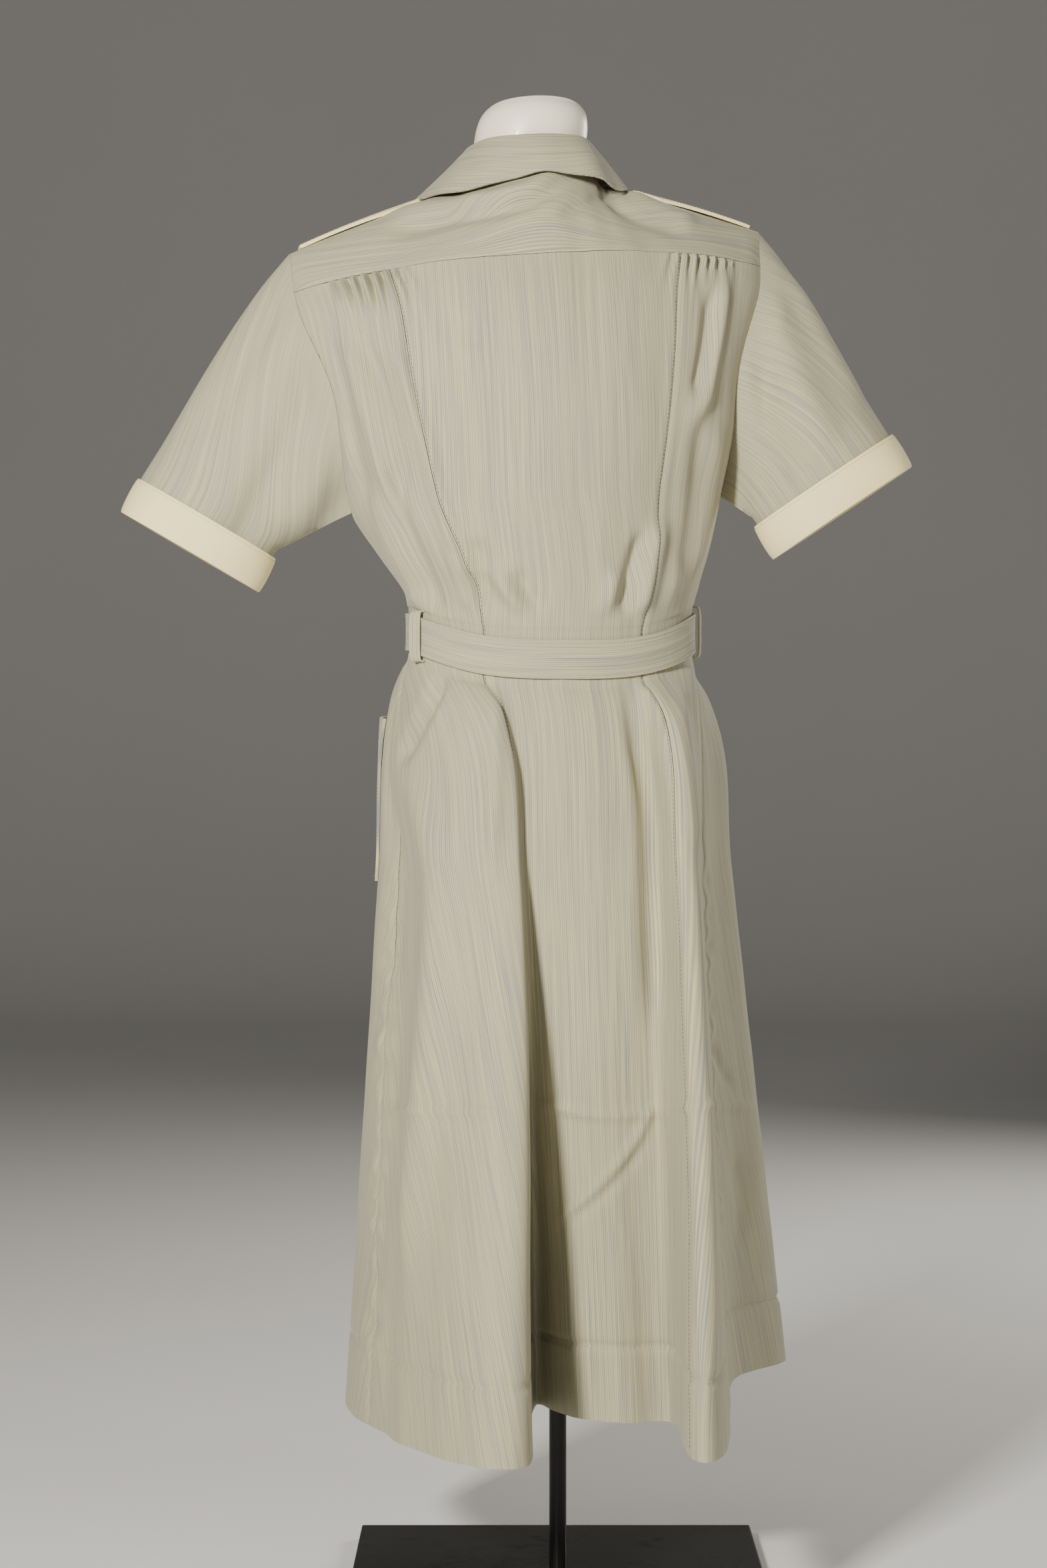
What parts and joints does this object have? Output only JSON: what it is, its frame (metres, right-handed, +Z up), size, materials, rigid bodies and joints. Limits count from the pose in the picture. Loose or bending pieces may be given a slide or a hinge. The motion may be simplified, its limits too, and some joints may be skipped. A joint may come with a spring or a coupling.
{
  "type": "nurse uniform dress on a limbless dress form",
  "caption": "Short-sleeved button-front nurse uniform dress in pinstriped cotton with cream cuffs, belted, on a limbless dress form and plate stand.",
  "frame": {"origin": "middle of the base plate's underside", "axes": "+Z up, +Y towards the back of the dress, +X towards the wearer's left; the dress is turned 7 degrees about Z on its stand"},
  "size_m": [0.697, 0.5191, 1.2997],
  "materials": {
    "striped_cotton": "matt pinstriped cotton",
    "cream_cotton": "matt cream cotton",
    "form_cover": "smooth white",
    "dark_steel": "satin dark paint",
    "pearl_plastic": "pearly"
  },
  "bodies": {
    "root": {"back_center": "striped_cotton", "back_side_left": "striped_cotton", "back_side_right": "striped_cotton", "back_yoke": "striped_cotton", "front_left": "striped_cotton", "front_right": "striped_cotton", "sleeve_left": "striped_cotton", "sleeve_right": "striped_cotton", "collar": "striped_cotton", "belt": "striped_cotton", "belt_loop_left": "striped_cotton", "belt_loop_right": "striped_cotton", "pocket_left": "striped_cotton", "pocket_right": "striped_cotton", "cuff_left": "cream_cotton", "cuff_right": "cream_cotton", "shoulder_strap_left": "cream_cotton", "shoulder_strap_right": "cream_cotton", "button_1": "pearl_plastic", "button_2": "pearl_plastic", "button_3": "pearl_plastic", "button_4": "pearl_plastic", "button_5": "pearl_plastic", "button_6": "pearl_plastic", "button_7": "pearl_plastic", "button_8": "pearl_plastic", "belt_buckle": "pearl_plastic", "form_torso": "form_cover", "stand_pole": "dark_steel", "stand_base": "dark_steel"}
  },
  "joints": []
}
